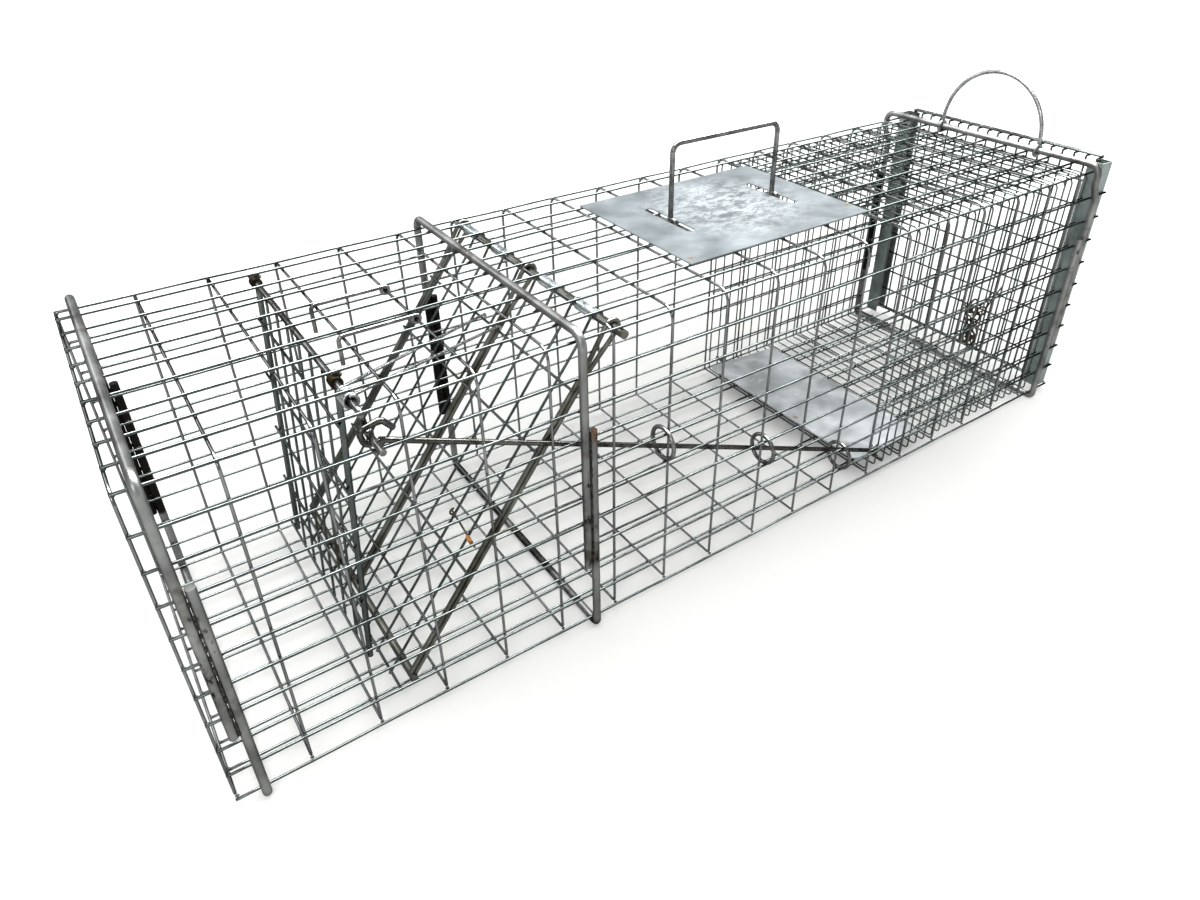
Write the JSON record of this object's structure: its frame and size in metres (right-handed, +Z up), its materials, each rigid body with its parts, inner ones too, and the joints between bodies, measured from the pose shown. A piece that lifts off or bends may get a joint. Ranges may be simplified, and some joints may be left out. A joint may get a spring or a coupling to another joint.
{
  "type": "live catch animal trap",
  "caption": "Wire mesh live catch trap with a sloping front door and lock flap, tripping pan and rod, sliding rear door, lifting bail and folding carry handle.",
  "frame": {"origin": "on the plane the trap stands on, under the middle of its bounding box", "axes": "+X along the cage from the front door to the rear sliding door, +Y to the cage's left for someone looking along +X, +Z up; the trip rod runs along the -Y wall"},
  "size_m": [0.9164, 0.2742, 0.3387],
  "materials": {
    "galvanised_wire": "dull galvanised welded mesh wire",
    "galvanised_rod": "satin galvanised round rod",
    "galvanised_sheet": "smooth galvanised sheet",
    "bright_wire": "bright drawn steel wire"
  },
  "bodies": {
    "cage": {"floor_mesh": "galvanised_wire", "roof_mesh": "galvanised_wire", "roof_corner_bends": "galvanised_wire", "left_side_mesh": "galvanised_wire", "right_side_mesh": "galvanised_wire", "liner_floor": "galvanised_wire", "liner_roof": "galvanised_wire", "liner_corner_bends": "galvanised_wire", "liner_left": "galvanised_wire", "liner_right": "galvanised_wire", "front_upper_frame": "galvanised_rod", "front_lower_frame": "galvanised_rod", "middle_upper_frame": "galvanised_rod", "middle_lower_frame": "galvanised_rod", "rear_upper_frame": "galvanised_rod", "rear_lower_frame": "galvanised_rod", "door_hinge_rod": "galvanised_rod", "hinge_sleeves": "galvanised_rod", "flap_pin": "galvanised_rod", "trip_rings": "galvanised_wire", "pan_axle": "galvanised_rod", "handle_plate": "galvanised_sheet", "left_rear_channel": "galvanised_sheet", "right_rear_channel": "galvanised_sheet"},
    "front_door": {"door_rods": "galvanised_rod", "door_sill": "galvanised_rod", "door_mesh": "galvanised_wire"},
    "lock_flap": {"lock_flap": "galvanised_wire"},
    "door_spring": {"door_spring": "bright_wire"},
    "left_latch_finger": {"left_latch_finger": "bright_wire"},
    "right_latch_finger": {"right_latch_finger": "bright_wire"},
    "trip_rod": {"trip_rod": "bright_wire"},
    "pan": {"pan": "galvanised_sheet"},
    "rear_door": {"rear_door_edges": "galvanised_rod", "rear_door_mesh": "galvanised_wire"},
    "rear_bail": {"rear_bail": "bright_wire"},
    "carry_handle": {"carry_handle": "bright_wire"}
  },
  "joints": [
    {"name": "door_swing", "type": "hinge", "parent": "cage", "child": "front_door", "pos_m": [-0.14427, 0.00264, 0.25736], "axis": [0, 1, 0], "range_deg": [0, 35]},
    {"name": "flap_swing", "type": "hinge", "parent": "cage", "child": "lock_flap", "pos_m": [-0.32512, 0.00264, 0.25634], "axis": [0, 1, 0], "range_deg": [0, 64]},
    {"name": "spring_swing", "type": "hinge", "parent": "cage", "child": "door_spring", "pos_m": [-0.32512, 0.00264, 0.25634], "axis": [0, 1, 0], "range_deg": [-10, 0]},
    {"name": "left_finger_lift", "type": "hinge", "parent": "cage", "child": "left_latch_finger", "pos_m": [-0.254, 0.02448, 0.26344], "axis": [0, 1, 0], "range_deg": [0, 80]},
    {"name": "right_finger_lift", "type": "hinge", "parent": "cage", "child": "right_latch_finger", "pos_m": [-0.254, -0.03165, 0.26344], "axis": [0, 1, 0], "range_deg": [0, 80]},
    {"name": "trip_rod_slide", "type": "slide", "parent": "cage", "child": "trip_rod", "axis": [-0.9176, 0, 0.3976], "range_m": [0, 0.0015]},
    {"name": "pan_tilt", "type": "hinge", "parent": "cage", "child": "pan", "pos_m": [0.17272, 0.00264, 0.0172], "axis": [0, -1, 0], "range_deg": [0, 14]},
    {"name": "rear_door_slide", "type": "slide", "parent": "cage", "child": "rear_door", "axis": [0, 0, 1], "range_m": [0, 0.24]},
    {"name": "rear_bail_swing", "type": "hinge", "parent": "cage", "child": "rear_bail", "pos_m": [0.42291, 0.00264, 0.26981], "axis": [0, -1, 0], "range_deg": [0, 80]},
    {"name": "handle_fold", "type": "hinge", "parent": "cage", "child": "carry_handle", "pos_m": [0.05385, 0.00264, 0.26556], "axis": [1, 0, 0], "range_deg": [-74, 78]}
  ],
  "couplings": [
    {"joint": "flap_swing", "follows": "door_swing", "ratio": 1.8},
    {"joint": "spring_swing", "follows": "door_swing", "ratio": -0.283},
    {"joint": "trip_rod_slide", "follows": "pan_tilt", "m_per_rad": 0.0061523}
  ]
}
